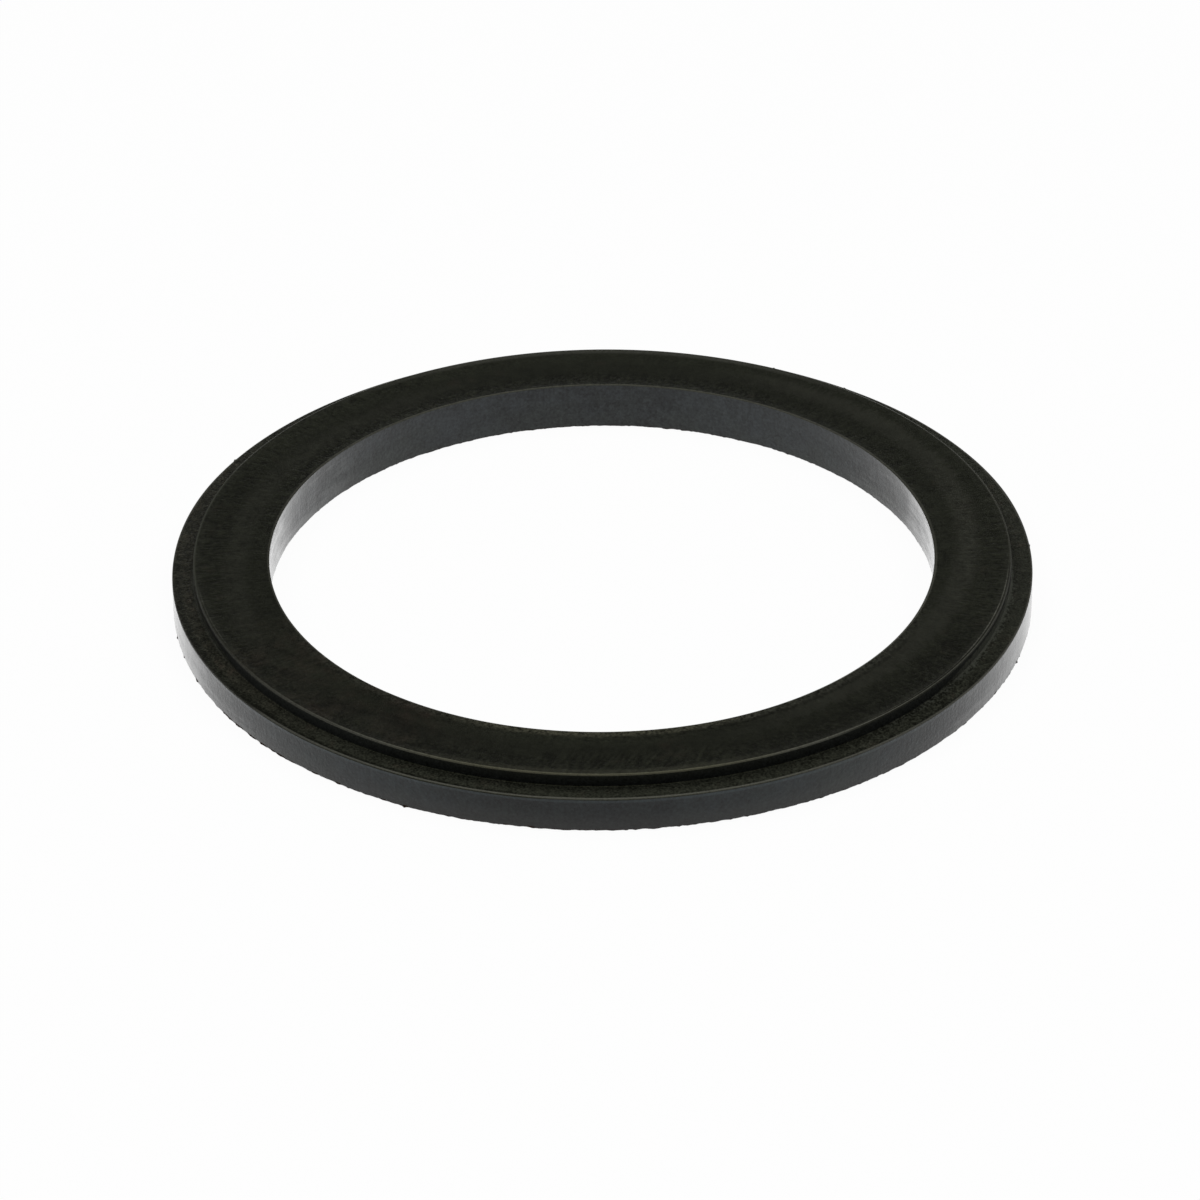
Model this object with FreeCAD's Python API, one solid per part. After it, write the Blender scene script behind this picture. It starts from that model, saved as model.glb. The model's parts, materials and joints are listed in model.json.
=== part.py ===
import FreeCAD, Part
import math
import os

# Stepped seal ring, moulded in one piece from solid black rubber.
# A flat ring of rectangular section carries a raised land on its top face.
# The land stops short of the rim, which leaves a narrow ledge all round, and that
# ledge is what a retaining lip or a counterbore shoulder bears on.
# Frame: Z is the ring's axis, z = 0 is the flat base and the land faces up.
# A section point is given as its distance from the axis and its height above the base.

# Driving dimensions, in millimetres
OUTER_DIAMETER = 71.0       # over the rim
SECTION_WIDTH = 7.95        # bore wall to outer wall, which leaves a clear bore of 55.1
FLANGE_THICKNESS = 3.0      # base to ledge, which is the height of the outer wall
LAND_HEIGHT = 1.15          # ledge to top face
LEDGE_WIDTH = 1.75          # rim to the foot of the step, across the radius

LAND_EDGE_RADIUS = 0.2      # rounding where the step wall meets the top face
RIM_EDGE_RADIUS = 0.12      # rounding where the outer wall meets the ledge
BORE_EDGE_RADIUS = 0.1      # rounding where the bore wall meets the top face
FOOT_RADIUS = 0.05          # hollow rounding at the foot of the step

# Radii and heights that follow from them
outer_radius = OUTER_DIAMETER / 2
bore_radius = outer_radius - SECTION_WIDTH
land_radius = outer_radius - LEDGE_WIDTH
ledge_level = FLANGE_THICKNESS
top_level = FLANGE_THICKNESS + LAND_HEIGHT


def section_corners():
    """Corners of the ring's section, anticlockwise, each with its rounding radius.

    The two edges of the base have none: the moulding flash is trimmed off there, which leaves them sharp.
    """
    return [
        (bore_radius, 0.0, None),
        (outer_radius, 0.0, None),
        (outer_radius, ledge_level, RIM_EDGE_RADIUS),
        (land_radius, ledge_level, FOOT_RADIUS),
        (land_radius, top_level, LAND_EDGE_RADIUS),
        (bore_radius, top_level, BORE_EDGE_RADIUS),
    ]


def towards(start, goal, distance):
    """Point at a distance from start on the straight line to goal."""
    direction = FreeCAD.Vector(goal - start)
    direction.normalize()
    return start + direction * distance


def corner_arc(before, corner, after, radius):
    """Where a corner's rounding starts and ends, and its tangent arc, or none on a sharp corner."""
    if radius is None:
        return corner, corner, None
    turn = (before - corner).getAngle(after - corner)
    setback = radius / math.tan(turn / 2)
    start = towards(corner, before, setback)
    end = towards(corner, after, setback)
    centre_distance = radius / math.sin(turn / 2)
    halfway = towards(corner, (start + end) / 2, centre_distance - radius)
    return start, end, Part.Arc(start, halfway, end).toShape()


def section_face():
    """The ring's section as a face in the XZ plane: straight sides joined by tangent arcs."""
    corners = section_corners()
    points = [FreeCAD.Vector(radial, 0, height) for radial, height, _ in corners]
    count = len(corners)
    rounds = []
    for index, (_, _, radius) in enumerate(corners):
        before = points[index - 1]
        after = points[(index + 1) % count]
        rounds.append(corner_arc(before, points[index], after, radius))
    edges = []
    for index, (_, end, arc) in enumerate(rounds):
        next_start = rounds[(index + 1) % count][0]
        if arc:
            edges.append(arc)
        edges.append(Part.LineSegment(end, next_start).toShape())
    return Part.Face(Part.Wire(edges))


def seal_ring():
    """The whole ring: its section turned once about the Z axis."""
    ring = section_face().revolve(FreeCAD.Vector(0, 0, 0), FreeCAD.Vector(0, 0, 1), 360)
    if not ring.isValid() or len(ring.Solids) != 1:
        raise ValueError("the ring's section doesn't turn into one valid solid")
    return ring.Solids[0]


os.makedirs("parts", exist_ok=True)
solid = seal_ring()
solid.exportStep("parts/seal_ring.step")

box = solid.optimalBoundingBox(False)
print("seal_ring: %.3f x %.3f x %.3f mm" % (box.XLength, box.YLength, box.ZLength))
print("volume %.1f mm3, %d faces" % (solid.Volume, len(solid.Faces)))
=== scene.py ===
import json
import math

import bpy
import numpy as np
from bpy.props import FloatProperty, FloatVectorProperty, IntProperty, PointerProperty
from mathutils import Matrix, Vector


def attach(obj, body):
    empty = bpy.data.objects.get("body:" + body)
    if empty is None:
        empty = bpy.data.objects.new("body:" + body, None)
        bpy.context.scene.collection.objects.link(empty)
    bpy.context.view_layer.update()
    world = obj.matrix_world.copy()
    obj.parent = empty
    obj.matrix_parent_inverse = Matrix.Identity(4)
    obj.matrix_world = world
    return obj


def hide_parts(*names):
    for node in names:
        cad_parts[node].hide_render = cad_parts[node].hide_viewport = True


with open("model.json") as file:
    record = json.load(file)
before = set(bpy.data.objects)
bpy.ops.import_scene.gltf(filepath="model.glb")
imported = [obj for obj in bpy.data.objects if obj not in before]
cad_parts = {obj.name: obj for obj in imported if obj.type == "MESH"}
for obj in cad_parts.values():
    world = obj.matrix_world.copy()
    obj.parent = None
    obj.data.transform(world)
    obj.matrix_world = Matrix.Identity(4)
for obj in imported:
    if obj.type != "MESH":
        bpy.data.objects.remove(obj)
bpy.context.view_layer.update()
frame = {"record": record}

# A seal ring of solid black rubber, moulded in one piece. Its top face is a raised land, and a
# step down to a narrow ledge runs round outside it. Bits of trimmed flash are left on its base edges.
# Lengths are in metres. Azimuths are in degrees, anticlockwise seen from above, and 270 faces the camera.

bl_info = {
    "name": "Stepped seal ring",
    "version": (1, 0, 0),
    "blender": (4, 5, 0),
    "location": "3D View > Sidebar > Seal ring",
    "description": "Models a moulded rubber seal ring with a stepped rim, and a plain stage to show it on",
    "category": "Mesh",
}

MM = 0.001
BAKE_MAP = "OFBake"

# Sizes that the solid part already has
mounts = {mount["name"]: mount for mount in frame["record"]["mounts"]}
RIM_RADIUS = mounts["rim"]["dims"]["r_mm"] * MM
BORE_RADIUS = mounts["bore"]["dims"]["r_mm"] * MM
LAND_RADIUS = mounts["land"]["dims"]["r_mm"] * MM
LEDGE_LEVEL = mounts["ledge_face"]["pos_m"][2]
TOP_LEVEL = mounts["land_face"]["pos_m"][2]

# Rows of the section, and how they are spread
BASE_EDGE_ROWS = 4
RIM_EDGE_ROWS = 5
FOOT_ROWS = 4
LAND_EDGE_ROWS = 6
BORE_EDGE_ROWS = 4
SUPPORT = 0.03 * MM             # row beside a rounding, which keeps the faces next to it flat
# Rows over the land, as shares of the way from its inner edge to its outer one
LAND_SHARES = (0.98, 0.95, 0.9, 0.82, 0.68, 0.5, 0.34, 0.22, 0.14, 0.08, 0.035)
BORE_SINK_REACH = 0.4 * MM      # how far from each edge of the land its surface has sunk by two thirds
STEP_SINK_REACH = 1.0 * MM
LIP_DEPTH = 0.6 * MM            # height over which the bore's lip runs out into the wall
MAP_STRIPS = 3                  # lengths that the ring is cut into on its map
MAP_GAP = 0.006                 # share of the map's width that is left clear round a strip

# Bits of flash left on the outer base edge: azimuth, reach beyond the edge and length along it.
# One that reaches less than nothing is a nick.
FLASH_BITS = (
    (190.5, 0.15 * MM, 0.3 * MM),
    (195.5, 0.14 * MM, 0.3 * MM),
    (201.7, 0.12 * MM, 0.45 * MM),
    (211.4, 0.09 * MM, 1.1 * MM),
    (214.2, 0.1 * MM, 1.0 * MM),
    (217.3, 0.035 * MM, 1.6 * MM),
    (219.8, 0.07 * MM, 0.6 * MM),
    (221.6, 0.08 * MM, 0.6 * MM),
    (223.3, 0.07 * MM, 0.8 * MM),
    (225.6, 0.05 * MM, 0.5 * MM),
    (229.6, 0.09 * MM, 0.5 * MM),
    (233.5, 0.1 * MM, 0.4 * MM),
    (240.6, 0.06 * MM, 0.5 * MM),
    (243.7, 0.2 * MM, 0.26 * MM),
    (257.4, 0.06 * MM, 0.4 * MM),
    (260.7, 0.07 * MM, 0.6 * MM),
    (263.9, -0.05 * MM, 0.25 * MM),
    (286.6, -0.05 * MM, 0.3 * MM),
    (333.2, 0.07 * MM, 0.4 * MM),
    (341.6, 0.13 * MM, 0.3 * MM),
)
FLASH_SHOWN = 0.02 * MM         # reach from which a bit of flash has a look of its own
FLASH_RISE = 0.06 * MM          # how far that look goes up the wall above the rounding
# Bumps on the rim edge, as seen on the outline: azimuth, reach and length
RIM_NIBS = (
    (3.7, 0.06 * MM, 0.2 * MM),
    (53.7, 0.07 * MM, 0.15 * MM),
    (65.0, 0.08 * MM, 0.2 * MM),
    (151.1, 0.09 * MM, 0.18 * MM),
)
# Where the rim bulges a little, and the land's edge with it: azimuth, reach and length
RIM_SWELLS = (
    (19.0, 0.1 * MM, 15.0 * MM),
    (43.0, 0.05 * MM, 17.0 * MM),
    (160.0, 0.055 * MM, 14.0 * MM),
)
# Where the bore's lip bulges inwards
BORE_SWELLS = ((0.0, 0.06 * MM, 24.0 * MM),)
SPLIT_AZIMUTH = 262.3           # where the mould's halves met, which leaves a small jog in the rim edge
SPLIT_JOG = 0.02 * MM           # up on one side of the split and down on the other
SPLIT_WIDTH = 0.3               # azimuth over which the height changes
SPLIT_FADE = 14.0               # azimuth over which the jog dies away

# The floor's section, as shares of its radius and heights
FLOOR_PROFILE = ((0.12, 0.0), (0.84, 0.0), (0.9, 0.03), (0.95, 0.12), (0.98, 0.28), (1.0, 0.5))
FLOOR_SEGMENTS = 96
FLOOR_GAP = 0.02 * MM           # clear of the ring's base, so that the two don't share a plane


class SealRingSizes(bpy.types.PropertyGroup):
    """Sizes of the ring. Those of the solid part come from its record."""

    rim_radius: FloatProperty(
        name="Rim radius", description="Axis to the outer wall",
        default=RIM_RADIUS, unit="LENGTH", precision=5)
    bore_radius: FloatProperty(
        name="Bore radius", description="Axis to the bore wall",
        default=BORE_RADIUS, unit="LENGTH", precision=5)
    land_radius: FloatProperty(
        name="Land radius", description="Axis to the wall of the step",
        default=LAND_RADIUS, unit="LENGTH", precision=5)
    ledge_level: FloatProperty(
        name="Ledge height", description="Base to the ledge",
        default=LEDGE_LEVEL, unit="LENGTH", precision=5)
    top_level: FloatProperty(
        name="Height", description="Base to the edges of the land",
        default=TOP_LEVEL, unit="LENGTH", precision=5)
    land_edge: FloatProperty(
        name="Land edge", description="Rounding where the step meets the land",
        default=0.125 * MM, unit="LENGTH", precision=6)
    rim_edge: FloatProperty(
        name="Rim edge", description="Rounding where the outer wall meets the ledge",
        default=0.075 * MM, unit="LENGTH", precision=6)
    rim_lap: FloatProperty(
        name="Rim lap", description="Height of the ledge's finish on the outer wall, below the rounding",
        default=0.08 * MM, unit="LENGTH", min=0.01 * MM, precision=5)
    bore_edge: FloatProperty(
        name="Bore edge", description="Rounding where the bore wall meets the land",
        default=0.08 * MM, unit="LENGTH", precision=6)
    base_edge: FloatProperty(
        name="Base edge", description="Rounding of the two edges that the ring stands on",
        default=0.11 * MM, unit="LENGTH", precision=6)
    foot: FloatProperty(
        name="Foot", description="Hollow rounding at the foot of the step",
        default=0.06 * MM, unit="LENGTH", precision=6)
    sink: FloatProperty(
        name="Sink", description="Depth that the middle of the land has shrunk",
        default=0.05 * MM, unit="LENGTH", precision=6)
    bore_lip: FloatProperty(
        name="Bore lip", description="How far the land's inner edge stands into the bore at the sides",
        default=0.09 * MM, unit="LENGTH", precision=6)
    flash: FloatProperty(
        name="Flash", description="Unevenness of the base edges, where the moulding flash is trimmed",
        default=0.075 * MM, unit="LENGTH", precision=6)
    segments: IntProperty(
        name="Segments", description="Faces round the ring, a multiple of the map's strips",
        default=1728, min=96)


class SealRingFinish(bpy.types.PropertyGroup):
    """Colours, roughness and gloss of the rubber."""

    land_colour: FloatVectorProperty(
        name="Land colour", description="Rubber of the land",
        default=(0.0114, 0.0125, 0.0084), subtype="COLOR", min=0, max=1, precision=4)
    # Painted sheen: the smooth band's rubber is paler than the land's
    satin_sheen_colour: FloatVectorProperty(
        name="Satin colour", description="Rubber of the smooth band round the land",
        default=(0.0178, 0.0184, 0.0140), subtype="COLOR", min=0, max=1, precision=4)
    ledge_colour: FloatVectorProperty(
        name="Ledge colour", description="Rubber of the ledge and the step",
        default=(0.0126, 0.0134, 0.0099), subtype="COLOR", min=0, max=1, precision=4)
    step_colour: FloatVectorProperty(
        name="Step colour", description="Rubber of the step wall, which lies in the land's shade",
        default=(0.0110, 0.0122, 0.0120), subtype="COLOR", min=0, max=1, precision=4)
    wall_colour: FloatVectorProperty(
        name="Wall colour", description="Rubber of the outer wall",
        default=(0.0068, 0.0092, 0.0084), subtype="COLOR", min=0, max=1, precision=4)
    # Painted light: paler than the outer wall's rubber, for the floor inside the ring that the bore faces
    bore_lit_colour: FloatVectorProperty(
        name="Bore colour", description="Rubber of the bore wall",
        default=(0.0182, 0.0216, 0.0198), subtype="COLOR", min=0, max=1, precision=4)
    # Painted highlight, with some wear, on the rim's rounding, and on the land's edge away from the front
    rim_highlight_colour: FloatVectorProperty(
        name="Rim colour", description="Worn edge of the rim, and of the land away from the front",
        default=(0.059, 0.059, 0.050), subtype="COLOR", min=0, max=1, precision=4)
    # Painted light from the floor along the foot of the walls, paler and browner
    low_light_colour: FloatVectorProperty(
        name="Low colour", description="Dusty rubber along the foot of the outer wall",
        default=(0.044, 0.036, 0.034), subtype="COLOR", min=0, max=1, precision=4)
    slate_tint: FloatVectorProperty(
        name="Slate tint", description="What the walls' colour is multiplied by where they are bluer",
        default=(1.0, 1.0, 1.18), subtype="XYZ")
    # Painted highlight, with some wear, on the land's edge at the front
    edge_highlight_colour: FloatVectorProperty(
        name="Edge colour", description="Worn edge of the land at the front",
        default=(0.060, 0.058, 0.041), subtype="COLOR", min=0, max=1, precision=4)
    base_colour: FloatVectorProperty(
        name="Base colour", description="Rubber of the base",
        default=(0.0130, 0.0135, 0.0115), subtype="COLOR", min=0, max=1, precision=4)
    flash_colour: FloatVectorProperty(
        name="Flash colour", description="Torn rubber along the base edges, and of the flash left there",
        default=(0.0220, 0.0110, 0.0080), subtype="COLOR", min=0, max=1, precision=4)
    scuff_colour: FloatVectorProperty(
        name="Scuff colour", description="Brownish bloom where the rubber is scuffed",
        default=(0.0165, 0.0130, 0.0098), subtype="COLOR", min=0, max=1, precision=4)
    # Painted light, speckled, at the foot of the step, and a soft painted highlight on the land's edge at the
    # left
    lit_bloom_colour: FloatVectorProperty(
        name="Bloom colour", description="Pale bloom at the foot of the step and on the land's edge",
        default=(0.036, 0.038, 0.031), subtype="COLOR", min=0, max=1, precision=4)
    dust_colour: FloatVectorProperty(
        name="Dust colour", description="Dust specks on the rubber",
        default=(0.09, 0.09, 0.08), subtype="COLOR", min=0, max=1, precision=4)
    land_roughness: FloatProperty(
        name="Land roughness", description="Roughness of the land",
        default=0.38, min=0, max=1, subtype="FACTOR")
    edge_roughness: FloatProperty(
        name="Edge roughness", description="Roughness of the worn edges",
        default=0.24, min=0, max=1, subtype="FACTOR")
    wall_roughness: FloatProperty(
        name="Wall roughness", description="Roughness of the walls",
        default=0.18, min=0, max=1, subtype="FACTOR")
    wall_sheen: FloatProperty(
        name="Wall sheen", description="Pale sheen of the walls where they are seen along their face",
        default=1.0, min=0, max=1, subtype="FACTOR")
    land_gloss: FloatProperty(
        name="Land gloss", description="Strength of the reflections of the land, the ledge and the flash",
        default=0.12, min=0, max=1, subtype="FACTOR")
    land_gloss_tint: FloatVectorProperty(
        name="Land gloss tint", description="Tint of the reflections of the land, the ledge and the flash",
        default=(0.97, 1.0, 0.62), subtype="COLOR", min=0, max=1)
    gloss: FloatProperty(
        name="Gloss", description="Strength of the reflections of the walls and the base, half for glass",
        default=0.25, min=0, max=1, subtype="FACTOR")


class SealRingStage(bpy.types.PropertyGroup):
    """The floor, the light and the camera."""

    floor_colour: FloatVectorProperty(
        name="Floor colour", description="Plain pale floor",
        default=(0.9, 0.9, 0.9), subtype="COLOR", min=0, max=1)
    floor_glow: FloatProperty(
        name="Floor glow", description="Share of the floor's look that is plain white, free of shadow",
        default=0.95, min=0, max=1, subtype="FACTOR")
    floor_radius: FloatProperty(
        name="Floor radius", description="Radius of the floor, with its raised rim",
        default=2.6, unit="LENGTH")
    top_lamp: FloatVectorProperty(
        name="Top lamp", description="Place of the softbox overhead",
        default=(0.0, -0.06, 0.5), subtype="TRANSLATION", unit="LENGTH")
    top_lamp_size: FloatVectorProperty(
        name="Top lamp size", description="Width and depth of the softbox overhead",
        default=(0.8, 0.7), size=2, unit="LENGTH")
    top_lamp_power: FloatProperty(
        name="Top lamp power", description="Power of the softbox overhead",
        default=3.3, unit="POWER")
    right_lamp: FloatVectorProperty(
        name="Right lamp", description="Place of the softbox on the right, behind the ring",
        default=(0.55, 0.4, 0.4), subtype="TRANSLATION", unit="LENGTH")
    right_lamp_power: FloatProperty(
        name="Right lamp power", description="Power of the softbox on the right",
        default=0.35, unit="POWER")
    left_lamp: FloatVectorProperty(
        name="Left lamp", description="Place of the softbox on the left, behind the ring",
        default=(-0.55, 0.4, 0.4), subtype="TRANSLATION", unit="LENGTH")
    left_lamp_power: FloatProperty(
        name="Left lamp power", description="Power of the softbox on the left",
        default=0.15, unit="POWER")
    side_lamp_size: FloatVectorProperty(
        name="Side lamp size", description="Width and height of the softboxes at the sides",
        default=(0.4, 0.3), size=2, unit="LENGTH")
    surround: FloatProperty(
        name="Surround", description="Brightness of the studio round the stage",
        default=0.08, min=0)
    camera_distance: FloatProperty(
        name="Camera distance", description="Camera to the middle of the ring's base",
        default=0.56026, unit="LENGTH")
    camera_elevation: FloatProperty(
        name="Camera elevation", description="Height of the camera as an angle above the floor",
        default=math.radians(31.622), unit="ROTATION")
    camera_aim: FloatVectorProperty(
        name="Camera aim", description="Point of the floor in the middle of the picture",
        default=(-0.00021, -0.00102), size=2, unit="LENGTH", precision=5)
    camera_roll: FloatProperty(
        name="Camera roll", description="Turn of the camera about its own line of sight",
        default=math.radians(-0.4563), unit="ROTATION")
    camera_lens: FloatProperty(
        name="Lens", description="Focal length on a sensor 36 mm wide",
        default=202.84, unit="CAMERA")


class Signal:
    """One socket of a finish. Arithmetic on it adds the Math node that it stands for."""

    def __init__(self, finish, socket):
        self.finish = finish
        self.socket = socket

    def out(self, name):
        """Another output of the same node."""
        return Signal(self.finish, self.socket.node.outputs[name])

    def __add__(self, other):
        return self.finish.math("ADD", self, other)

    __radd__ = __add__

    def __sub__(self, other):
        return self.finish.math("SUBTRACT", self, other)

    def __rsub__(self, other):
        return self.finish.math("SUBTRACT", other, self)

    def __mul__(self, other):
        return self.finish.math("MULTIPLY", self, other)

    __rmul__ = __mul__

    def __truediv__(self, other):
        return self.finish.math("DIVIDE", self, other)

    def __abs__(self):
        return self.finish.math("ABSOLUTE", self)


class Finish:
    """A material and its nodes."""

    def __init__(self, name):
        self.material = bpy.data.materials.new(name)
        self.material.use_nodes = True
        self.tree = self.material.node_tree
        self.tree.nodes.clear()

    def node(self, kind, settings=None, sockets=None, output=0):
        """Adds a node of this kind: its settings first, then a value or a link for each socket."""
        made = self.tree.nodes.new(kind)
        for name, value in (settings or {}).items():
            setattr(made, name, value)
        for name, value in (sockets or {}).items():
            if isinstance(value, Signal):
                self.tree.links.new(value.socket, made.inputs[name])
            else:
                made.inputs[name].default_value = value
        return Signal(self, made.outputs[output]) if made.outputs else None

    def math(self, operation, *inputs):
        return self.node("ShaderNodeMath", {"operation": operation}, dict(enumerate(inputs)))


class Rubber(Finish):
    """Rubber of the ring, with the place on the ring in millimetres for its patterns.

    A zone of a pattern is an azimuth, then the angles from it where a mark is still whole and where it
    has gone. A zone that is one of a sum has its amount as well.
    """

    SEED_STEP = 7.3             # between the seeds of two patterns
    NOISE_ROUGHNESS = 0.55
    SPECK_CORE = 0.4            # share of a speck's radius over which it is solid
    DARKEST = 0.25              # least that a colour is scaled by, so that it is never quite black
    SHEEN_ROUGHNESS = 0.35
    FILM_ROUGHNESS = 0.12

    def __init__(self, name):
        super().__init__(name)
        self.seed = 0.0
        place = self.node("ShaderNodeTexCoord", output="Object")
        split = self.node("ShaderNodeSeparateXYZ", sockets={0: place})
        self.x, self.y, self.height = (split.out(axis) * (1 / MM) for axis in "XYZ")
        self.radial = self.math("SQRT", self.x * self.x + self.y * self.y)
        self.cosine = self.x / self.radial
        self.sine = self.y / self.radial
        self.at_sides = self.cosine * self.cosine
        self.at_ends = self.at_sides * self.at_sides
        self.place = self.point(self.x, self.y, self.height)

    def point(self, x, y, z):
        return self.node("ShaderNodeCombineXYZ", None, {0: x, 1: y, 2: z})

    def ramp(self, signal, low, high):
        """A soft step, 0 up to low and 1 from high, or 1 up to high and 0 from low if high is the lower."""
        ends = {"To Min": 0.0, "To Max": 1.0} if low < high else {"To Min": 1.0, "To Max": 0.0}
        span = {"Value": signal, "From Min": min(low, high), "From Max": max(low, high)}
        return self.node("ShaderNodeMapRange", {"interpolation_type": "SMOOTHSTEP"}, {**span, **ends})

    def noise(self, place, scale=1.0, detail=2.0):
        """Soft noise about zero, mostly from -1 to 1. Each call has a seed of its own."""
        self.seed += self.SEED_STEP
        sockets = {
            "Vector": place,
            "W": self.seed,
            "Scale": scale,
            "Detail": detail,
            "Roughness": self.NOISE_ROUGHNESS,
        }
        return (self.node("ShaderNodeTexNoise", {"noise_dimensions": "4D"}, sockets) - 0.5) * 4.0

    def drawn(self, around, across=0.0, up=0.0):
        """Place for a pattern drawn out over the ring, in cells per radian round it, per millimetre
        across it and per millimetre of height."""
        return self.point(
            self.cosine * around, self.sine * around, self.radial * across + self.height * up
        )

    def slanted(self, degrees, along, across):
        """Place for a pattern drawn out at an angle over the land, in cells per millimetre each way."""
        cosine, sine = math.cos(math.radians(degrees)), math.sin(math.radians(degrees))
        return self.point(
            (self.x * cosine + self.y * sine) * along, (self.y * cosine - self.x * sine) * across, self.height
        )

    def window(self, azimuth, inner, outer):
        """1 within the inner angle of this azimuth and 0 beyond the outer one."""
        middle = math.radians(azimuth)
        facing = self.cosine * math.cos(middle) + self.sine * math.sin(middle)
        return self.ramp(facing, math.cos(math.radians(outer)), math.cos(math.radians(inner)))

    def patches(self, zones):
        """The sum of several zones, each by its amount."""
        return sum(amount * self.window(*zone) for *zone, amount in zones)

    def specks(self, pitch, share, size):
        """Specks at random: the pitch of their cells, the share of cells that have one, and their radius."""
        self.seed += self.SEED_STEP
        cells = self.node(
            "ShaderNodeTexVoronoi",
            {"voronoi_dimensions": "4D"},
            {"Vector": self.place, "W": self.seed, "Scale": 1 / pitch},
            "Distance",
        )
        pick = self.node("ShaderNodeSeparateColor", None, {0: cells.out("Color")})
        spot = self.ramp(cells, size / pitch, self.SPECK_CORE * size / pitch)
        return spot * self.ramp(pick, 1 - share, 1 - share / 2)

    def scale(self, colour, factor):
        """A colour made lighter or darker by a signal."""
        factor = self.math("MAXIMUM", factor, self.DARKEST)
        return self.node("ShaderNodeVectorMath", {"operation": "SCALE"}, {0: colour, "Scale": factor})

    def mix(self, factor, first, second):
        """The first colour where the factor is 0, and the second where it is 1."""
        ends = [value if isinstance(value, Signal) else (*value, 1.0) for value in (first, second)]
        sockets = {0: factor, 6: ends[0], 7: ends[1]}
        return self.node("ShaderNodeMix", {"data_type": "RGBA"}, sockets, 2)

    def tint(self, factor, colour, by):
        """The colour where the factor is 0, and the colour times the tint where it is 1."""
        settings = {"data_type": "RGBA", "blend_type": "MULTIPLY"}
        return self.node("ShaderNodeMix", settings, {0: factor, 6: (*colour, 1.0), 7: (*by, 1.0)}, 2)

    def surface(self, colour, roughness, relief, gloss, gloss_tint=(1, 1, 1), sheen=0.0, film=0.0):
        """Closes the finish. The relief is a height in millimetres, and the film a share of oily gloss."""
        normal = self.node("ShaderNodeBump", None, {"Distance": MM, "Height": relief})
        rubber = self.node(
            "ShaderNodeBsdfPrincipled",
            None,
            {
                "Base Color": colour,
                "Roughness": roughness,
                "Normal": normal,
                "Specular IOR Level": gloss,
                "Specular Tint": (*gloss_tint, 1.0),
                "Sheen Weight": sheen,
                "Sheen Roughness": self.SHEEN_ROUGHNESS,
                "Coat Weight": film,
                "Coat Roughness": self.FILM_ROUGHNESS,
            },
        )
        self.node("ShaderNodeOutputMaterial", None, {"Surface": rubber})
        return self.material


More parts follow.
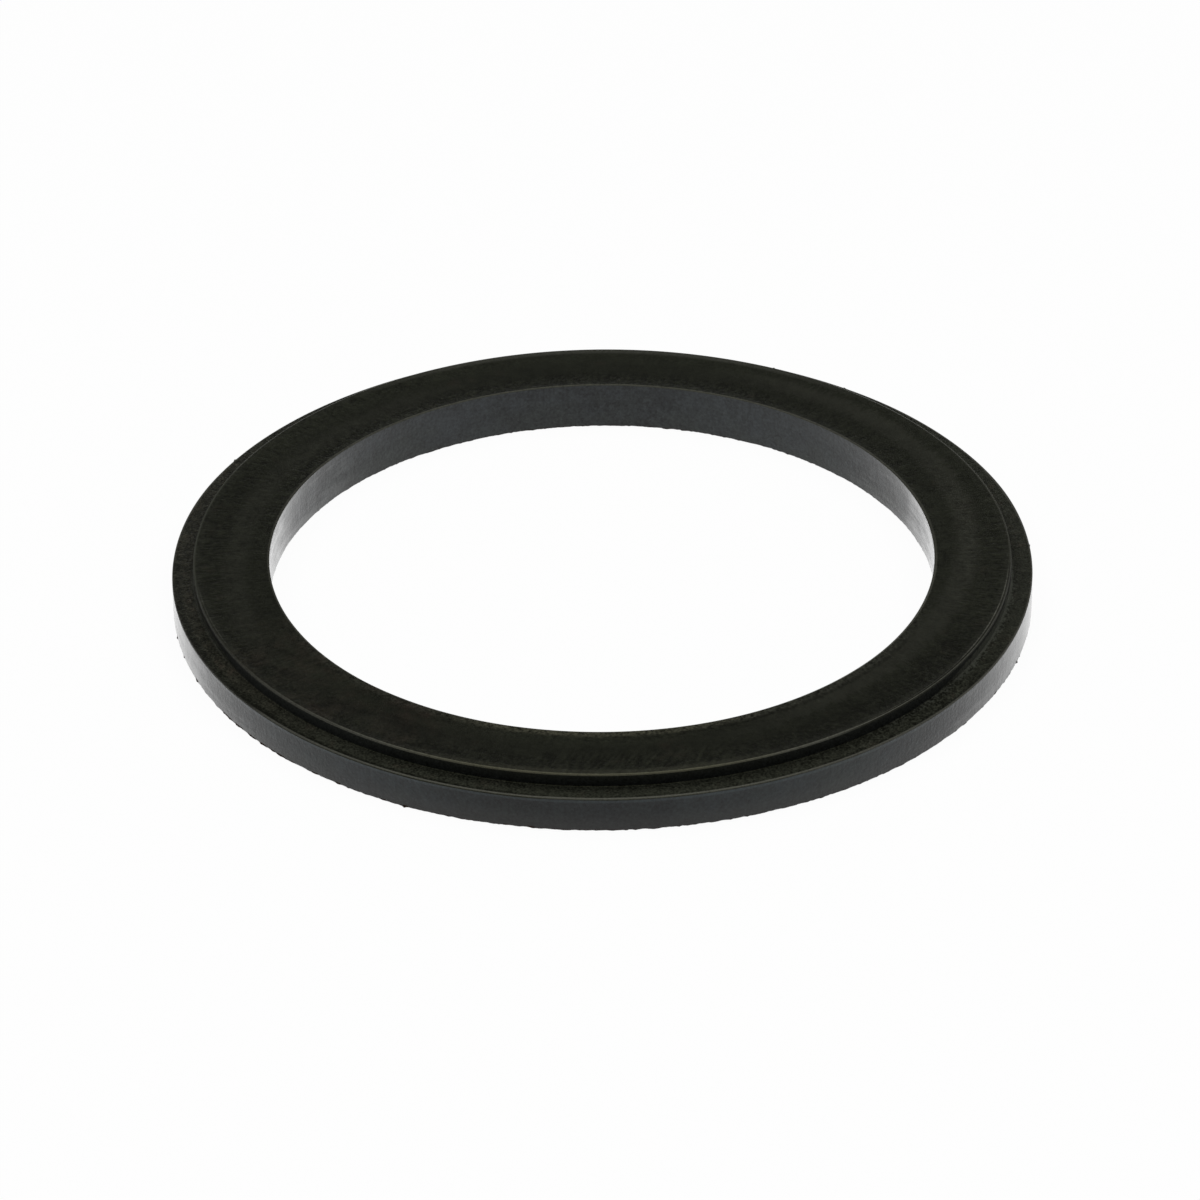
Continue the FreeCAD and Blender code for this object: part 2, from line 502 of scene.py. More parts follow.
class LandRubber(Rubber):
    """Rubber of the land: olive black, with a smooth satin band, paler with painted sheen, between two zones
    of broken radial hatch, and pale edges that are partly wear and partly painted highlight.

    A place across it is a share of the way from the bore, where it is 0, to the step, where it is 1.
    """

    FRONT = (272.0, 45.0, 80.0)
    BACK = (108.0, 34.0, 56.0)
    RIGHT_END = (2.0, 14.0, 28.0)
    BROWNED = (225.0, 10.0, 28.0)
    BAND_FURTHER_OUT = (135.0, 15.0, 45.0)
    FINER_OUTER_PART = (60.0, 35.0, 60.0)
    FINER_INNER_PART = (212.0, 26.0, 46.0)
    DARKER_OUTER_PART = (315.0, 12.0, 32.0)
    DARKER_INNER_PART = (45.0, 12.0, 30.0)
    LIGHTER_INNER_PART = (245.0, 28.0, 44.0)
    SCUFFED = (275.0, 8.0, 18.0)
    CREASED = (305.0, 18.0, 30.0)
    SMEARED = (228.0, 12.0, 30.0)
    BARE = (234.0, 8.0, 16.0)

    # Its edges: pale with wear and painted highlight, with painted shade and painted light in places
    STEP_PALING = ((90.0, 12.0, 45.0, 0.45), (270.0, 8.0, 25.0, 0.12))
    BORE_PALING = (272.0, 8.0, 34.0)
    SECOND_LINE = ((197.0, 5.0, 10.0, 0.35), (341.0, 6.0, 15.0, 0.6))
    EDGE_GROOVED = (332.0, 20.0, 32.0)
    # Painted highlight, soft and wide, on the land's edge at the left end
    EDGE_LIT_BLOOM = (174.0, 12.0, 19.0)
    EDGE_DULL = (196.0, 10.0, 22.0)
    EDGE_KHAKI = (268.0, 10.0, 32.0)
    EDGE_BRIGHT = (274.0, 30.0, 50.0)

    def __init__(self):
        super().__init__("land_rubber")
        self.bore, self.land = BORE_RADIUS / MM, LAND_RADIUS / MM
        self.share = (self.radial - self.bore) / (self.land - self.bore)
        self.inner_part = self.ramp(self.share, 0.48, 0.25)
        self.outer_part = self.ramp(self.share, 0.5, 0.7)
        self.hatch = self.noise(self.drawn(110.0, across=0.8))
        self.broken = self.noise(self.place, scale=2.6, detail=3.0)
        self.grain = self.noise(self.place, scale=5.0)
        self.mottle = self.noise(self.place, scale=0.9)
        self.cloud = self.noise(self.place, scale=0.35)
        self.front = self.window(*self.FRONT)
        self.back = self.window(*self.BACK)
        self.right_end = self.window(*self.RIGHT_END)
        self.browned = self.window(*self.BROWNED)
        self.grooved = self.window(*self.EDGE_GROOVED)
        self.lit_bloomed = self.window(*self.EDGE_LIT_BLOOM)
        # Painted shade: a dark line inside the land's edge at the right, and another just under the edge; the
        # mesh has no groove there
        self.groove = self.ramp(abs(self.radial - (self.land - 0.15)), 0.08, 0.04) * self.grooved
        self.under_edge = self.ramp(self.radial, self.land - 0.06, self.land - 0.02) * self.grooved

    def satin_band(self):
        """Where the satin band is: smoother, and paler with painted sheen. It wanders across the land, and
        fades out at the front and the back.
        """
        middle = 0.42 + 0.4 * self.sine * self.cosine + 0.12 * self.window(*self.BAND_FURTHER_OUT)
        off_middle = abs(self.share - middle) + 0.12 * self.hatch + 0.05 * self.broken
        strength = self.ramp(self.at_sides, 0.03, 0.35) * (0.8 + 0.2 * self.cosine - 0.4 * self.browned)
        return self.ramp(off_middle, 0.21, 0.1) * strength

    def coarseness(self, in_band):
        """How strong the texture is: most towards the edges and at the sides, and least on the satin band."""
        coarse = self.math("MAXIMUM", self.ramp(abs(self.share - 0.45), 0.1, 0.3), self.at_sides)
        coarse = (0.35 + 0.65 * coarse) * (1 - 0.6 * in_band * (1 - 0.8 * self.right_end))
        coarse = coarse * (1 + 0.8 * self.back * self.inner_part)
        coarse = coarse * (1 - 0.4 * self.outer_part * self.window(*self.FINER_OUTER_PART))
        finer_inner_part = self.window(*self.FINER_INNER_PART) + self.right_end
        return coarse * (1 - 0.4 * self.inner_part * finer_inner_part)

    def scuffs(self):
        """Scuffs that run slantwise over the front."""
        scuffs = self.noise(self.slanted(66.0, along=0.6, across=3.2), detail=1.0)
        return scuffs * self.window(*self.SCUFFED) * self.ramp(self.share, 0.45, 0.6)

    def smears(self):
        """Smears that run slantwise over the front left."""
        return self.noise(self.slanted(-32.0, along=0.16, across=0.7)) * self.window(*self.SMEARED)

    def rough_strip(self):
        """The rougher strip along the bore at the front, with the painted shade of a crease beside it."""
        strip = self.ramp(self.share + 0.03 * self.mottle, 0.17, 0.05) * self.front
        crease = self.ramp(abs(self.share - 0.135) + 0.02 * self.broken, 0.045, 0.015)
        return 0.5 * strip * self.grain - 0.3 * crease * self.window(*self.CREASED)

    def ground(self):
        """Lightness of the land under its marks, with painted shade at the front."""
        darker = self.window(*self.DARKER_OUTER_PART) * self.ramp(self.share, 0.48, 0.66)
        # Darker at the front, towards the camera: painted shade
        return 0.76 + 0.06 * self.cosine - 0.12 * self.front + 0.2 * self.mottle - 0.25 * darker

    def broad_zones(self):
        """What the lighter and darker zones add to the lightness of the rest."""
        lighter = 0.24 * self.inner_part * self.window(*self.LIGHTER_INNER_PART)
        darker = 0.12 * self.window(*self.DARKER_INNER_PART) * (1 - 1.5 * self.outer_part)
        return lighter - darker + self.back * (0.24 * self.outer_part - 0.16 * self.inner_part)

    def shade(self, coarse, scuffs):
        """Lightness of the land with all its marks, where 1 is its own colour."""
        texture = self.hatch * (0.15 + 0.35 * self.at_sides) + 0.5 * self.broken + 0.4 * self.grain
        shade = self.ground() + coarse * texture + 0.5 * scuffs + self.rough_strip() + 0.35 * self.smears()
        bare = self.window(*self.BARE) * self.ramp(abs(self.share - 0.3) + 0.05 * self.mottle, 0.25, 0.12)
        return shade * (1 - 0.15 * bare) + self.broad_zones()

    def brown_patches(self):
        """Brown patches, mostly at the front left."""
        front_left = self.browned * self.ramp(self.cloud + 0.8 * self.mottle, -0.6, 1.0) * 0.6
        return front_left + self.ramp(self.cloud + 0.6 * self.mottle, 0.5, 1.4) * 0.5

    def paling(self):
        """Paling towards each edge, and a second pale line inside the outer edge: painted highlight with some
        wear.
        """
        near_step = self.ramp(self.radial, self.land - 0.9, self.land - 0.45)
        near_bore = self.ramp(self.radial, self.bore + 0.95, self.bore + 0.4)
        second = self.ramp(abs(self.radial - (self.land - 0.26)), 0.07, 0.03)
        on_strip = near_bore * self.front * (0.12 + 0.25 * self.window(*self.BORE_PALING))
        paling = near_step * (0.06 + self.patches(self.STEP_PALING))
        paling = paling + on_strip * (1 + 0.9 * self.grain + 0.7 * self.broken)
        return paling + second * self.patches(self.SECOND_LINE) * (1 + self.broken)

    def roundings(self):
        """Where the two roundings are pale, with wear and painted highlight. A line of painted shade doubles
        the outer one at the right.
        """
        outer = self.ramp(
            self.radial + 0.04 * self.at_sides + 0.1 * self.grooved, self.land - 0.15, self.land - 0.07
        )
        outer = outer * (1 - 0.7 * self.window(*self.EDGE_DULL)) * (1 - 0.8 * self.lit_bloomed)
        outer = outer * (1 - 0.85 * self.groove) * (1 - 0.9 * self.under_edge)
        return outer + self.ramp(self.radial, self.bore + 0.13, self.bore + 0.05)

    def edge_highlight_colour(self, look):
        """Colour of the pale edges, wear and painted highlight: brighter at the front and brightest at the
        right.
        """
        khaki = self.window(*self.EDGE_KHAKI)
        colour = self.mix(khaki, look.rim_highlight_colour, look.edge_highlight_colour)
        return self.scale(colour, 0.95 + 0.25 * self.window(*self.EDGE_BRIGHT) + 0.45 * self.grooved)

    def between_edges(self, look, in_band, shade):
        """Colour between the edges: rubber, brown patches, the satin band with painted sheen, and specks of
        dust.
        """
        colour = self.mix(self.brown_patches(), look.land_colour, look.scuff_colour)
        satin = self.scale(look.satin_sheen_colour, shade + 0.25)
        colour = self.mix(in_band, self.scale(colour, shade), satin)
        return self.mix(self.specks(pitch=1.3, share=0.08, size=0.07), colour, look.dust_colour)

    def with_edges(self, look, colour, worn_and_highlit):
        """That colour with its pale edges of wear and painted highlight, painted light on the edge at the
        left end, and painted shade in the groove at the right.
        """
        pale = (worn_and_highlit + (1 - worn_and_highlit) * self.paling()) * (1 + 0.35 * self.grain)
        colour = self.mix(pale, colour, self.edge_highlight_colour(look))
        lit_bloom = 0.9 * self.lit_bloomed * self.ramp(self.radial, self.land - 0.26, self.land - 0.1)
        colour = self.mix(lit_bloom, colour, look.lit_bloom_colour)
        return self.scale(colour, 1 - 0.5 * self.groove - 0.5 * self.under_edge)

    def closed(self, look):
        """The land's material. The wear and painted highlight on its roundings are weaker at the sides."""
        in_band = self.satin_band()
        coarse = self.coarseness(in_band)
        scuffs = self.scuffs()
        rounding = self.roundings()
        worn_and_highlit = rounding * (1 - 0.6 * self.at_ends)
        colour = self.between_edges(look, in_band, self.shade(coarse, scuffs))
        at_edge = (look.edge_roughness - look.land_roughness) + 0.5 * self.at_ends
        matt = self.lit_bloomed * self.ramp(self.radial, self.land - 0.3, self.land - 0.15)
        roughness = look.land_roughness + 0.05 * self.grain - 0.05 * in_band + rounding * at_edge + 0.4 * matt
        relief = coarse * (0.008 * self.hatch * self.at_sides + 0.004 * self.grain + 0.006 * self.broken)
        relief = (relief + 0.006 * scuffs) * (1 - worn_and_highlit)
        colour = self.with_edges(look, colour, worn_and_highlit)
        return self.surface(colour, roughness, relief, look.land_gloss, look.land_gloss_tint)


class LedgeRubber(Rubber):
    """Rubber of the ledge and the step: matt and mottled, with painted shade darkest up the step, and a pale
    rim of wear and painted highlight.
    """

    LEFT = (206.0, 12.0, 30.0)
    FRONT_LEFT = (240.0, 20.0, 36.0)
    RIGHT_END = (3.0, 20.0, 40.0)
    # Zones of painted light at the foot of the step
    FOOT_LIT = ((347.0, 12.0, 27.0, 1.0), (194.0, 4.0, 16.0, 0.8))
    FOOT_PALEST = (341.0, 10.0, 18.0)
    FOOT_LIGHTER = (221.0, 10.0, 22.0)
    FOOT_LIT_BLOOM = (333.0, 12.0, 26.0)
    LIT_BLOOM_PALEST = (343.0, 10.0, 17.0)
    RIM_SHADED = ((237.0, 21.0, 27.0, 0.5), (315.0, 12.0, 24.0, 0.3), (240.0, 6.0, 14.0, 0.15))
    RIM_DULL = (198.0, 18.0, 23.0)
    BROWNED = (185.0, 25.0, 50.0)

    def __init__(self):
        super().__init__("ledge_rubber")
        self.land, self.rim, self.ledge = LAND_RADIUS / MM, RIM_RADIUS / MM, LEDGE_LEVEL / MM
        self.grain = self.noise(self.place, scale=6.0)
        self.broken = self.noise(self.place, scale=3.2, detail=3.0)
        self.mottle = self.noise(self.place, scale=0.9)
        self.streak = self.noise(self.drawn(60.0, across=0.3), detail=1.0)
        self.at_front = self.sine * self.sine
        self.deep_front = self.at_front * self.at_front
        self.right_end = self.window(*self.RIGHT_END)
        self.lit_foot = self.patches(self.FOOT_LIT) * (1 + 0.15 * self.broken)
        self.on_step = self.ramp(self.height - 0.6 * self.lit_foot, self.ledge + 0.03, self.ledge + 0.12)
        outer_third = self.ramp(self.radial + 0.08 * self.mottle, self.rim - 0.75, self.rim - 0.55)
        self.left_strip = self.window(*self.LEFT) * outer_third

    def ground(self):
        """Lightness of the ledge and the step under their grain. At the front it grows outwards, from painted
        shade by the step's foot.
        """
        outward = self.ramp(self.radial, self.land + 0.45, self.land + 1.25)
        near_foot = self.ramp(self.radial, self.land + 1.1, self.land + 0.5)
        shade = (1 - 0.15 * self.deep_front) + (0.1 + 0.65 * self.deep_front) * outward
        shade = shade - 0.5 * self.left_strip + 0.12 * self.right_end
        shade = shade + 0.35 * near_foot * self.window(*self.FOOT_LIGHTER)
        # Painted shade on the step: darker at the front, and above the painted light at its foot
        shade = shade * (1 - 0.3 * self.on_step * self.at_front)
        return shade * (1 - 0.35 * self.on_step * self.lit_foot)

    def rim_shadow(self):
        """How much darker the ledge is beside the rim."""
        depth = self.patches(self.RIM_SHADED) + 0.25 * self.at_front
        return depth * self.ramp(self.radial, self.rim - 0.46, self.rim - 0.32)

    def shade(self, coarse):
        """Lightness of the ledge and the step, where 1 is their own colour."""
        grain = (1.4 + 0.9 * self.deep_front) * self.grain
        broken = (1.2 - 0.6 * self.window(*self.FRONT_LEFT)) * self.broken
        texture = grain + broken + 0.35 * self.mottle + 0.15 * self.streak
        return self.ground() + texture * coarse - self.rim_shadow()

    def brown_patches(self):
        """Brown patches of the ledge, mostly at the left."""
        brown = self.ramp(self.mottle, 0.2, 0.9) * (0.45 - 0.2 * self.deep_front)
        patchy = 0.15 + 0.15 * self.ramp(self.mottle + 0.6 * self.broken, -0.5, 0.8)
        brown = brown + self.window(*self.BROWNED) * patchy
        return brown * (1 - self.on_step) * (1 - 0.8 * self.left_strip)

    def lit_bloom(self):
        """Painted light low on the step and on the ledge beside it, speckled."""
        low_step = self.ramp(self.height, self.ledge + 0.85, self.ledge + 0.3) * (1 - self.on_step)
        low_step = low_step * self.ramp(self.radial, self.land + 0.25, self.land + 0.1) * self.lit_foot
        low_step = low_step * (1 + 0.8 * self.window(*self.FOOT_PALEST))
        beside = self.window(*self.FOOT_LIT_BLOOM) * self.ramp(self.radial, self.land + 0.7, self.land + 0.2)
        beside = beside * (1 - self.on_step) * self.ramp(self.broken + self.grain, -0.4, 0.6)
        return (low_step + 1.2 * beside) * (0.7 + 0.5 * self.grain + 0.4 * self.broken)

    def rim_wear_and_highlight(self):
        """Where the rim's rounding is pale, with wear and painted highlight, which it hardly is at the left.
        """
        dull = 0.9 * self.window(*self.RIM_DULL)
        worn_and_highlit = self.ramp(self.radial, self.rim - 0.17, self.rim - 0.08) * (1 - dull)
        return worn_and_highlit * self.ramp(self.height, self.ledge - 0.12, self.ledge - 0.05)

    def colour(self, look, coarse, worn_and_highlit):
        """Colour of the ledge and the step, with brown patches, dust, painted light at the step's foot, and
        the rim's pale edge.
        """
        colour = self.mix(self.brown_patches(), look.ledge_colour, look.scuff_colour)
        colour = self.scale(self.mix(self.on_step, colour, look.step_colour), self.shade(coarse))
        colour = self.mix(self.specks(pitch=1.1, share=0.14, size=0.07), colour, look.dust_colour)
        lit_bloom_colour = self.scale(look.lit_bloom_colour, 1 + 0.4 * self.window(*self.LIT_BLOOM_PALEST))
        colour = self.mix(self.lit_bloom(), colour, lit_bloom_colour)
        # Painted highlight on the rim, brighter at the front
        rim_highlight_colour = self.scale(look.rim_highlight_colour, 0.9 + 0.45 * self.deep_front)
        return self.mix(worn_and_highlit * (1 + 0.3 * self.grain), colour, rim_highlight_colour)

    def closed(self, look):
        """The material of the ledge and the step."""
        coarse = (1 - 0.7 * self.on_step) * (1 - 0.4 * self.deep_front) * (1 - 0.4 * self.right_end)
        worn_and_highlit = self.rim_wear_and_highlight()
        colour = self.colour(look, coarse, worn_and_highlit)
        roughness = look.land_roughness + 0.06 * self.grain
        roughness = roughness + worn_and_highlit * (look.edge_roughness - look.land_roughness)
        relief = (0.012 * self.grain + 0.01 * self.broken) * coarse * (1 - worn_and_highlit)
        return self.surface(colour, roughness, relief, look.land_gloss, look.land_gloss_tint)


class WallRubber(Rubber):
    """Rubber of a wall: smoother than the land, with streaks from the mould, soft blotches and a few pits.

    It is paler in some zones, as painted reflection, and under a film of oil in others. The texture is how
    strong its patterns are, and the low paling how much paler it is towards the base and in a line under the
    rim, as painted light.
    """

    def __init__(self, name, texture, low_paling):
        super().__init__(name)
        self.texture, self.low_paling = texture, low_paling
        self.ledge = LEDGE_LEVEL / MM
        self.streak = self.noise(self.drawn(90.0, up=0.25))
        self.blotch = self.noise(self.place, scale=0.8, detail=3.0)
        self.grain = self.noise(self.place, scale=4.0, detail=3.0)
        self.pits = self.specks(pitch=1.5, share=0.06, size=0.1)
        self.low = self.ramp(self.height, 2.0, 0.0)

    def shade(self, paler):
        """Lightness of the wall, where 1 is its own colour, with painted light low down, under the rim and in
        zones.
        """
        # Painted light: a pale line under the rim
        under_rim = self.ramp(self.height, self.ledge - 0.46, self.ledge - 0.34)
        under_rim = under_rim * self.ramp(self.height, self.ledge - 0.14, self.ledge - 0.22)
        texture = self.texture * (0.25 * self.streak + 0.5 * self.blotch + 1.1 * self.grain)
        return 1 + texture + self.low_paling * (self.low + 1.5 * under_rim) + self.patches(paler)

    def slate(self):
        """Where the wall is bluer, mostly towards the top."""
        tone = self.noise(self.place, scale=0.14, detail=3.0) + 0.4 * self.noise(self.place, scale=0.7)
        return self.ramp(tone + 0.35 * self.height, -0.3, 1.3)

    def colour(self, look, own_colour, paler):
        """The wall's own colour with its shades, painted light at its foot, torn edge and specks of dust."""
        colour = self.scale(self.tint(self.slate(), own_colour, look.slate_tint), self.shade(paler))
        # Painted light from the floor, browner towards the base
        colour = self.mix(0.28 * self.low_paling * self.low, colour, look.low_light_colour)
        colour = self.mix(0.6 * self.ramp(self.height, 0.2, 0.06), colour, look.flash_colour)
        return self.mix(self.specks(pitch=1.4, share=0.05, size=0.05), colour, look.dust_colour)

    def film(self, oily):
        """The film of oil: at the sides, thicker near the base and in hairlines, and in the oily zones."""
        hair = self.noise(self.drawn(6.0, up=4.0))
        film = 0.25 * self.ramp(self.height, 1.6, 0.3) + 0.3 * hair + 0.15 * self.blotch + 0.12 * self.grain
        thickness = (1 + 0.5 * hair + 0.35 * self.blotch) * (1 - 0.5 * self.ramp(self.height, 3.0, 3.8))
        film = film * self.ramp(self.at_sides, 0.5, 0.7) + thickness * self.patches(oily)
        return self.math("MAXIMUM", film, 0.0)

    def closed(self, look, own_colour, paler, oily):
        """The wall's material, glossier towards the sides."""
        colour = self.colour(look, own_colour, paler)
        glossed = self.ramp(self.at_sides, 0.72, 0.96)
        roughness = look.wall_roughness * (1 - 0.8 * glossed) + 0.05 * self.blotch + 0.04 * self.grain
        roughness = roughness + 0.1 * self.pits
        relief = self.texture * (0.004 * self.streak + 0.008 * self.blotch + 0.008 * self.grain)
        relief = relief * (1 - 0.35 * self.at_sides) - 0.02 * self.pits
        film = self.film(oily)
        return self.surface(colour, roughness, relief, look.gloss, sheen=look.wall_sheen, film=film)


def land_finish(look):
    return LandRubber().closed(look)


def ledge_finish(look):
    return LedgeRubber().closed(look)


def outer_finish(look):
    """The outer wall: strongly textured, and paler towards the base and on either side of the front, as
    painted light.
    """
    paler = ((232.0, 6.0, 24.0, 0.85), (297.0, 6.0, 24.0, 0.85), (268.0, 6.0, 24.0, -0.15))
    oily = ((190.0, 7.0, 20.0, 0.4),)
    rubber = WallRubber("outer_wall_rubber", texture=1.1, low_paling=1.4)
    return rubber.closed(look, look.wall_colour, paler, oily)


def bore_finish(look):
    """The bore wall: smoother, paler as painted light, with more oil at its two ends."""
    # Zones of painted reflection on the bore
    paler = ((58.0, 6.0, 24.0, 0.4), (126.0, 6.0, 24.0, 0.3))
    oily = (
        (4.0, 13.0, 20.0, 0.65),
        (0.0, 5.0, 11.0, 0.2),
        (178.0, 5.0, 19.0, 0.65),
        (156.0, 12.0, 22.0, 0.06),
    )
    rubber = WallRubber("bore_wall_rubber", texture=0.8, low_paling=0.1)
    return rubber.closed(look, look.bore_lit_colour, paler, oily)


def flash_finish(look):
    """Torn remains of the flash: dark brown and matt."""
    rubber = Rubber("flash_rubber")
    grain = rubber.noise(rubber.place, scale=4.0, detail=3.0)
    colour = rubber.scale(look.flash_colour, 1 + 0.4 * grain)
    return rubber.surface(colour, 0.7 + 0.1 * grain, 0.01 * grain, look.land_gloss, look.land_gloss_tint)


def base_finish(look):
    """The base: matt, with faint rings left by the turned mould."""
    rubber = Rubber("base_rubber")
    rings = rubber.noise(rubber.drawn(1.5, across=5.0), detail=1.0)
    grain = rubber.noise(rubber.place, scale=4.0, detail=3.0)
    colour = rubber.scale(look.base_colour, 1 + 0.08 * rings + 0.12 * grain)
    roughness = look.land_roughness + 0.03 * grain
    return rubber.surface(colour, roughness, 0.002 * rings + 0.002 * grain, look.gloss)


# Each finish has a place of its own among the ring's materials
FINISHES = {
    "base": base_finish,
    "flash": flash_finish,
    "outer": outer_finish,
    "bore": bore_finish,
    "ledge": ledge_finish,
    "land": land_finish,
}


def wander(azimuth, knots, seed):
    """A smooth random curve round the ring from -1 to 1, with this many knots in a turn."""
    heights = np.random.default_rng(seed).uniform(-1, 1, knots)
    place = azimuth / (2 * math.pi) * knots
    before = np.floor(place).astype(int)
    share = place - before
    share = share * share * (3 - 2 * share)
    return heights[before % knots] * (1 - share) + heights[(before + 1) % knots] * share


def turned_from(azimuth, degrees):
    """Angle from this azimuth to each of the others, from minus to plus half a turn, in degrees."""
    return (np.degrees(azimuth) - degrees + 180) % 360 - 180


def marks(azimuth, places, radius):
    """Small bumps round the ring, each given by its azimuth, reach and width."""
    total = np.zeros_like(azimuth)
    for degrees, reach, width in places:
        arc = np.radians(turned_from(azimuth, degrees)) * radius
        total += reach * np.exp(-((2 * arc / width) ** 2))
    return total


def split_jog(azimuth):
    """The jog in the rim's height where the mould's halves met."""
    from_split = turned_from(azimuth, SPLIT_AZIMUTH)
    return SPLIT_JOG * np.tanh(from_split / SPLIT_WIDTH) * np.exp(-np.abs(from_split) / SPLIT_FADE)


def unevenness(azimuth, reach, seed):
    """Ragged unevenness of a trimmed edge, fine and coarse together, and strongest at the front and back."""
    coarse = 0.2 * wander(azimuth, 90, seed) + 0.25 * wander(azimuth, 280, seed + 1)
    nibs = np.maximum(wander(azimuth, 640, seed + 2), 0) ** 2
    reach = reach * (1 + 1.1 * np.sin(azimuth) ** 2)
    return reach * (coarse + 0.3 * wander(azimuth, 850, seed + 3) + 0.9 * nibs)


def corner_rows(finish, radial, height, radius, start, end, count):
    """Rows round a corner of the section, from one angle to the other about the rounding's centre."""
    angles = np.radians(np.linspace(start, end, count))
    return [(finish, radial + radius * math.cos(a), height + radius * math.sin(a)) for a in angles]


def base_edge_rows(wall, outwards, edge, flash):
    """Rows of a base edge from the base up to the wall: rounded, with what is left of the flash on it."""
    angles = np.radians(np.linspace(0, 90, BASE_EDGE_ROWS))
    return [
        (wall + outwards * (flash * math.cos(a) - edge * (1 - math.sin(a))), edge * (1 - math.cos(a)))
        for a in angles
    ]


class Section:
    """The ring's section at every azimuth, in rows that run from the bore's base edge outwards and round.

    A row has the finish of the faces that follow it, its distance from the axis and its height.
    """

    def __init__(self, size, azimuth):
        sideways = np.cos(azimuth)
        swell = marks(azimuth, RIM_SWELLS, size.rim_radius)
        self.rim = size.rim_radius + swell
        self.land = size.land_radius + swell
        self.bore = size.bore_radius
        self.lip = self.bore - size.bore_lip * sideways ** 2 - marks(azimuth, BORE_SWELLS, self.bore)
        self.ledge, self.top = size.ledge_level, size.top_level
        self.rim_top = self.ledge + split_jog(azimuth)
        self.rim_mark = marks(azimuth, RIM_NIBS, size.rim_radius)
        self.rim_edge = size.rim_edge * (1 + 0.15 * wander(azimuth, knots=40, seed=12))
        self.rim_lap = size.rim_lap * (1 - 0.6 * sideways + 0.2 * wander(azimuth, knots=90, seed=16))
        widened = 0.8 * sideways ** 2
        self.land_edge = size.land_edge * (1 + widened + 0.12 * wander(azimuth, knots=26, seed=11))
        self.bore_edge = size.bore_edge * (1 + 0.15 * wander(azimuth, knots=40, seed=13))
        rippled = 0.25 * wander(azimuth, knots=60, seed=14) + 0.25 * wander(azimuth, knots=380, seed=15)
        self.base_edge = size.base_edge * (1 + rippled)
        self.foot, self.sink = size.foot, size.sink
        outer_flash = unevenness(azimuth, size.flash, seed=21) + marks(azimuth, FLASH_BITS, size.rim_radius)
        inner_flash = unevenness(azimuth, 0.75 * size.flash, seed=31)
        self.inner_base = base_edge_rows(self.bore, -1, self.base_edge, inner_flash)
        self.outer_base = base_edge_rows(self.rim, 1, self.base_edge, outer_flash)

    def base_rows(self):
        """The flat base between its two edges."""
        return [
            ("base", *self.inner_base[0]),
            ("base", self.bore + self.base_edge + SUPPORT, 0.0),
            ("base", self.rim - self.base_edge - SUPPORT, 0.0),
        ]

    def outer_wall_rows(self):
        """The outer base edge with its flash, and the wall above it."""
        return [
            *(("flash", *row) for row in self.outer_base),
            ("outer", self.rim, self.base_edge + FLASH_RISE),
            ("outer", self.rim, self.ledge / 3),
            ("outer", self.rim, self.ledge * 2 / 3),
        ]

    def ledge_rows(self):
        """The rim's rounding and the ledge."""
        centre = (self.rim + self.rim_mark - self.rim_edge, self.rim_top - self.rim_edge + self.rim_mark / 2)
        return [
            ("ledge", self.rim, self.rim_top - self.rim_edge - self.rim_lap),
            *corner_rows("ledge", *centre, self.rim_edge, 0, 90, RIM_EDGE_ROWS),
            ("ledge", self.rim - self.rim_edge - SUPPORT, self.rim_top),
            ("ledge", (self.rim + self.land) / 2, self.ledge),
            ("ledge", self.land + self.foot + SUPPORT, self.ledge),
        ]

    def step_rows(self):
        """The hollow at the foot of the step, and the step wall."""
        centre = (self.land + self.foot, self.ledge + self.foot)
        return [
            *corner_rows("ledge", *centre, self.foot, 270, 180, FOOT_ROWS),
            ("ledge", self.land, self.ledge + self.foot + SUPPORT),
            ("ledge", self.land, (self.ledge + self.top) / 2),
            ("land", self.land, self.top - self.land_edge - SUPPORT),
        ]

    def land_rows(self):
        """The land with its two roundings. Its middle is sunk."""
        land_centre = (self.land - self.land_edge, self.top - self.land_edge)
        bore_centre = (self.lip + self.bore_edge, self.top - self.bore_edge)
        outer, inner = land_centre[0] - SUPPORT, bore_centre[0] + SUPPORT
        sunk = []
        for share in (1.0, *LAND_SHARES, 0.0):
            radial = inner + (outer - inner) * share
            from_bore = 1 - np.exp((inner - radial) / BORE_SINK_REACH)
            from_step = 1 - np.exp((radial - outer) / STEP_SINK_REACH)
            sunk.append(("land", radial, self.top - self.sink * from_bore * from_step))
        return [
            *corner_rows("land", *land_centre, self.land_edge, 0, 90, LAND_EDGE_ROWS),
            *sunk,
            *corner_rows("land", *bore_centre, self.bore_edge, 90, 180, BORE_EDGE_ROWS),
        ]

    def bore_rows(self):
        """The bore wall, from its lip down to its base edge."""
        return [
            ("bore", self.lip, self.top - self.bore_edge - SUPPORT),
            ("bore", self.bore, self.top - LIP_DEPTH),
            ("bore", self.bore, self.top / 2),
            ("bore", self.bore, self.base_edge + SUPPORT),
            *(("bore", *row) for row in reversed(self.inner_base[1:])),
        ]

    def rows(self):
        """All rows, from the bore's base edge round to the bore again."""
        outside = self.base_rows() + self.outer_wall_rows() + self.ledge_rows() + self.step_rows()
        return outside + self.land_rows() + self.bore_rows()


